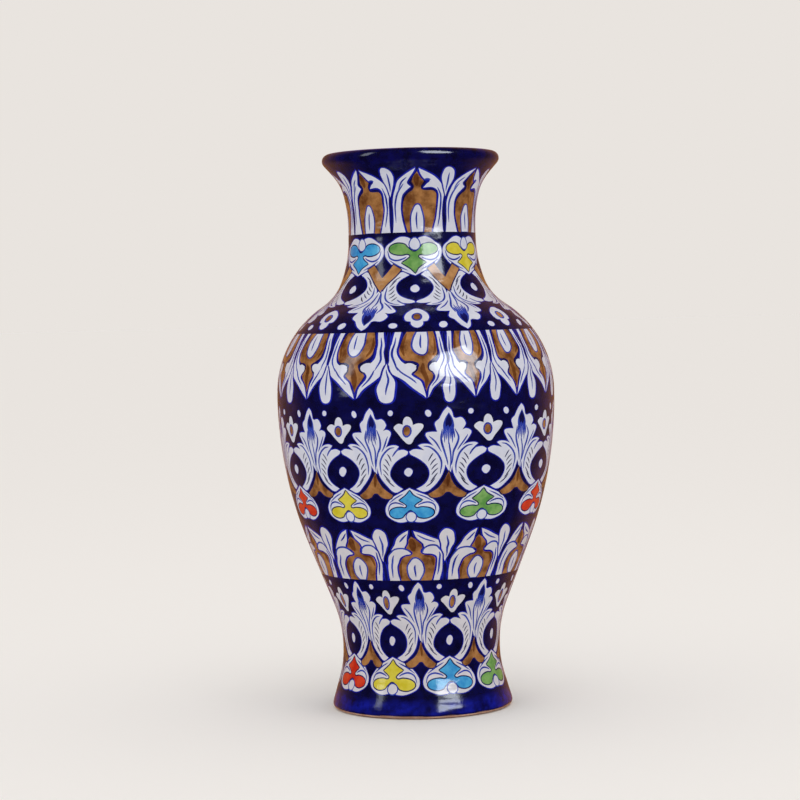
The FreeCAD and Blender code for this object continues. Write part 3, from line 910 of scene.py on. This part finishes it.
mouth_arch = arch_repeat(
    30.0, span(NECK_LINE, MOUTH_LINE), 27.6, 1.025,
    niche=[(0, 32.6, 1), (-1.6, 29.4), (-2.6, 26.4, 1), (-1.5, 24), (-1.9, 22), (-4, 20.4),
           (-6.2, 17.8), (-7.2, 14), (-6.8, 7), (-5, 0, 1), (7.8, 0, 1), (8.9, 7), (9.3, 14),
           (9, 19.4), (7.6, 21.2), (4.6, 21.4), (2.6, 22), (1.8, 24), (2.9, 26.6, 1), (1.4, 29.8)],
    shades=[(((0, 31.4), (-0.4, 27.6), (-0.1, 24)), 2.4)],
    petal=[(0.2, 14.2), (-2, 11.4), (-3, 7), (-2.8, 0.2, 1), (2.8, 0.2, 1), (3.1, 6), (2, 11.2)],
    leaves=[[(-13.1, 0, 1), (-12.9, 9), (-12.4, 17), (-11.1, 22.3), (-9, 27.2), (-5.4, 31),
             (-0.8, 34.9, 1), (-1.9, 31.8), (-3.9, 28), (-4.8, 25.8), (-3.2, 23.8, 1), (-4.8, 22.2),
             (-7.2, 19.4), (-8.3, 14.6), (-7.9, 7), (-6.2, 0, 1)],
            [(13.1, 0, 1), (13.6, 9), (13.6, 18), (12.6, 22.8), (10, 26.9), (6.4, 30.4),
             (0.6, 34.6, 1), (1.6, 31), (3.4, 27.6), (5.6, 27.2), (4.2, 25.2), (3, 23.2, 1),
             (7.4, 23.4), (10, 20.6), (10.4, 14.6), (9.6, 8), (7.7, 0, 1)]],
    lines=[(((-6.6, 25.6), (-9.7, 20.6), (-11.3, 14.6), (-11.2, 5)), 1.0),
           (((-4.6, 29.4), (-7.4, 26.4), (-9.4, 22.4)), 0.8),
           (((9.6, 23.4), (11.6, 18), (11.6, 11), (10.3, 3)), 1.0),
           (((2.9, 27.2), (4.4, 27.9), (6, 27.5)), 0.9)],
    bud=[(-1.6, 35.2), (-2.9, 31.8), (-2.7, 28.1), (-1.4, 24), (0.2, 18.6, 1), (1.3, 22.8),
         (2.6, 26.5), (2.9, 29.4), (1.3, 33.8)],
    lobes=[], inverted=False)
centres = ring_of([-40.6, 4.6, 55.5], 8)
coat_band("mouth_arches", mouth_arch, NECK_LINE, MOUTH_LINE, centres)

# --- Lip and foot bands -----------------------------------
# Plain cobalt carried over the rolled lip to the inside, and round the foot ring above the
# bare clay line. Both are laid with a full brush on the wheel.

ROWS_UP, STEPS_ROUND = 26, 192
LEAST_STEP = 0.05 * MM  # rows closer than this are one row
CRISP_EDGE = math.radians(50)  # an edge that turns more than this stays sharp
STREAK_WAVES = np.array([70, 70, 420])  # brush streaks per metre: long round the pot, fine upwards
STREAK_SHIFT, STREAK_DEPTH = 0.6 * MM, 0.35  # how far a streak drags the colour, and darkens it


def plain_band(name, start, end, stops):
    """A turned band of the coat, its section spun round the axis; stops name pigments by run."""
    clear = 0.01 * MM
    inside = wall_length[(wall_length > start + clear) & (wall_length < end - clear)]
    run = np.unique(np.concatenate([np.linspace(start, end, ROWS_UP), inside]))
    run = run[np.concatenate([[True], np.diff(run) > LEAST_STEP])]
    run[-1] = end
    radius, height, out, up = on_wall(run)
    shell = bmesh.new()
    face_line = [shell.verts.new((r, 0, z)) for r, z in zip(radius, height)]
    back_line = [shell.verts.new((r - o * COAT, 0, z - u * COAT))
                 for r, z, o, u in zip(radius, height, out, up)]
    loop = face_line + back_line[::-1]
    edges = [shell.edges.new((loop[i - 1], loop[i])) for i in range(len(loop))]
    bmesh.ops.spin(shell, geom=loop + edges, cent=(0, 0, 0), axis=(0, 0, 1), dvec=(0, 0, 0),
                   angle=2 * math.pi, steps=STEPS_ROUND, use_merge=True)
    bmesh.ops.remove_doubles(shell, verts=shell.verts, dist=TOUCHING)
    bmesh.ops.recalc_face_normals(shell, faces=shell.faces)
    mesh = bpy.data.meshes.new(name)
    shell.to_mesh(mesh)
    shell.free()
    mesh.polygons.foreach_set("use_smooth", np.ones(len(mesh.polygons), bool))
    mesh.set_sharp_from_angle(angle=CRISP_EDGE)
    middles = np.zeros(len(mesh.polygons) * 3)
    mesh.polygons.foreach_get("center", middles)
    middles = middles.reshape(-1, 3)
    wall = np.column_stack([radius, height])
    from_wall = np.column_stack([np.hypot(middles[:, 0], middles[:, 1]), middles[:, 2]])
    nearest = np.argmin(((from_wall[:, None] - wall[None]) ** 2).sum(2), axis=1)
    streak = np.array([noise.noise(spot) for spot in middles * STREAK_WAVES])
    at = run[nearest] + STREAK_SHIFT * streak
    knots = [stop for stop, _ in stops]
    for layer, which in (("thick", 0), ("thin", 1)):
        stain = mesh.attributes.new(layer, "FLOAT_COLOR", "FACE")
        shades = np.array([PIGMENTS[pigment][which] for _, pigment in stops])
        colour = np.column_stack([np.interp(at, knots, shades[:, i]) for i in range(4)])
        colour[:, :3] *= (1 + STREAK_DEPTH * streak)[:, None]
        stain.data.foreach_set("color", colour.astype(np.float32).ravel())
    lay_on_pot(name, mesh)


foot_end = run_at(FOOT_LINE)
plain_band("foot_band", 0.0, foot_end,
           [(0.0, "bare_edge"), (0.7 * MM, "bare_edge"), (0.9 * MM, "rim"), (2.2 * MM, "foot_blue"),
            (0.62 * foot_end, "foot_blue"), (foot_end, "ground")])
lip_start, lip_end = run_at(MOUTH_LINE), float(wall_length[-1])
lip_top = float(wall_length[np.argmax(wall_points[:, 1])])
plain_band("lip_band", lip_start, lip_end,
           [(lip_start, "ground"), (lip_start + 2 * MM, "rim"), (lip_top - 1.6 * MM, "rim"),
            (lip_top - 0.9 * MM, "line"), (lip_top + 0.2 * MM, "rim"), (lip_end, "rim")])

# --- Studio -----------------------------------------------
# A pale floor that meets a backdrop of the same shade, two cool soft boxes in front, one above,
# and a warm dim room for the glaze to reflect. The camera is about level with the neck's root.

FLOOR_REACH = 60.0  # m, so that no edge shows
PAPER = srgb(233, 228, 223)
PAPER_SHARE = 0.9  # of the light that falls on it, what the paper throws back
sweep = bmesh.new()
bmesh.ops.create_circle(sweep, cap_ends=True, radius=FLOOR_REACH, segments=96)
floor_mesh = bpy.data.meshes.new("studio_floor")
sweep.to_mesh(floor_mesh)
sweep.free()
floor_mesh.polygons.foreach_set("use_smooth", np.ones(len(floor_mesh.polygons), bool))
floor = put_out("studio_floor", floor_mesh)
paper, paper_shader = new_surface("pale_paper")
dial(paper_shader, {"Base Color": (PAPER_SHARE, PAPER_SHARE, PAPER_SHARE, 1), "Roughness": 1.0,
                    "Specular IOR Level": 0.0})
floor_mesh.materials.append(paper)

world = bpy.data.worlds.new("room")
bpy.context.scene.world = world
world.use_nodes = True
add_node, link = world.node_tree.nodes.new, world.node_tree.links.new
room = world.node_tree.nodes["Background"]
dial(room, {"Color": PAPER, "Strength": 1.0 / PAPER_SHARE})
backdrop = add_node("ShaderNodeBackground")
dial(backdrop, {"Color": PAPER})
dim_room = add_node("ShaderNodeBackground")
dial(dim_room, {"Color": srgb(168, 112, 72)})
facing = add_node("ShaderNodeTexCoord")
split = add_node("ShaderNodeSeparateXYZ")
warmth = add_node("ShaderNodeMapRange")
warmth.interpolation_type = "SMOOTHSTEP"
dial(warmth, {"From Min": 0.1, "From Max": 0.9, "To Min": 0.08, "To Max": 0.85})
link(facing.outputs["Generated"], split.inputs[0])
link(split.outputs["Y"], warmth.inputs["Value"])
link(warmth.outputs["Result"], dim_room.inputs["Strength"])
ray = add_node("ShaderNodeLightPath")
choose = add_node("ShaderNodeMixShader")
link(ray.outputs["Is Glossy Ray"], choose.inputs[0])
link(room.outputs[0], choose.inputs[1])
link(dim_room.outputs[0], choose.inputs[2])
behind = add_node("ShaderNodeMixShader")
link(ray.outputs["Is Camera Ray"], behind.inputs[0])
link(choose.outputs[0], behind.inputs[1])
link(backdrop.outputs[0], behind.inputs[2])
link(behind.outputs[0], world.node_tree.nodes["World Output"].inputs[0])
floor.visible_glossy = False

MIDDLE = (0, 0, 0.15)  # m, half-way up the pot, where the boxes point


def soft_box(name, place, wide, tall, power):
    """A lit rectangle that faces the pot; sizes in metres, power in watts."""
    lamp = bpy.data.lights.new(name, "AREA")
    lamp.shape = "RECTANGLE"
    lamp.size = wide
    lamp.size_y = tall
    lamp.energy = power
    holder = put_out(name, lamp)
    holder.location = place
    holder.rotation_mode = "QUATERNION"
    holder.rotation_quaternion = (Vector(MIDDLE) - Vector(place)).to_track_quat("-Z", "Y")


def round_the_pot(turn_deg, rise_deg, reach):
    """A place in front of the pot, turned to its right and raised, in metres."""
    turned, raised = math.radians(turn_deg), math.radians(rise_deg)
    across = reach * math.sin(turned) * math.cos(raised)
    towards = reach * math.cos(turned) * math.cos(raised)
    return (across, -towards, MIDDLE[2] + reach * math.sin(raised))


soft_box("key_box", round_the_pot(36, 28, 1.3), wide=0.72, tall=0.70, power=16)
soft_box("fill_box", round_the_pot(-60, 26, 1.3), wide=0.24, tall=0.80, power=2.0)
soft_box("sky_box", round_the_pot(10, 70, 1.5), wide=0.7, tall=0.5, power=2.0)
for box_name in ("key_box", "fill_box"):
    bpy.data.objects[box_name].visible_diffuse = False
    bpy.data.lights[box_name].color = (0.86, 0.93, 1.0)
bpy.data.objects["sky_box"].visible_glossy = False

CAMERA_PLACE = (0, -1.25, 0.215)  # m
CAMERA_TURN, CAMERA_TILT, CAMERA_ROLL = 0.40, 90 - 2.13, -1.36  # degrees
lens = bpy.data.cameras.new("camera")
lens.lens = 102.3  # mm
lens.sensor_width = 36
camera = put_out("camera", lens)
camera.location = CAMERA_PLACE
turn = Matrix.Rotation(math.radians(CAMERA_TURN), 3, "Z")
tilt = Matrix.Rotation(math.radians(CAMERA_TILT), 3, "X")
roll = Matrix.Rotation(math.radians(CAMERA_ROLL), 3, "Z")
camera.rotation_mode = "QUATERNION"
camera.rotation_quaternion = (turn @ tilt @ roll).to_quaternion()
bpy.context.scene.camera = camera
bpy.context.scene.view_settings.view_transform = "Standard"
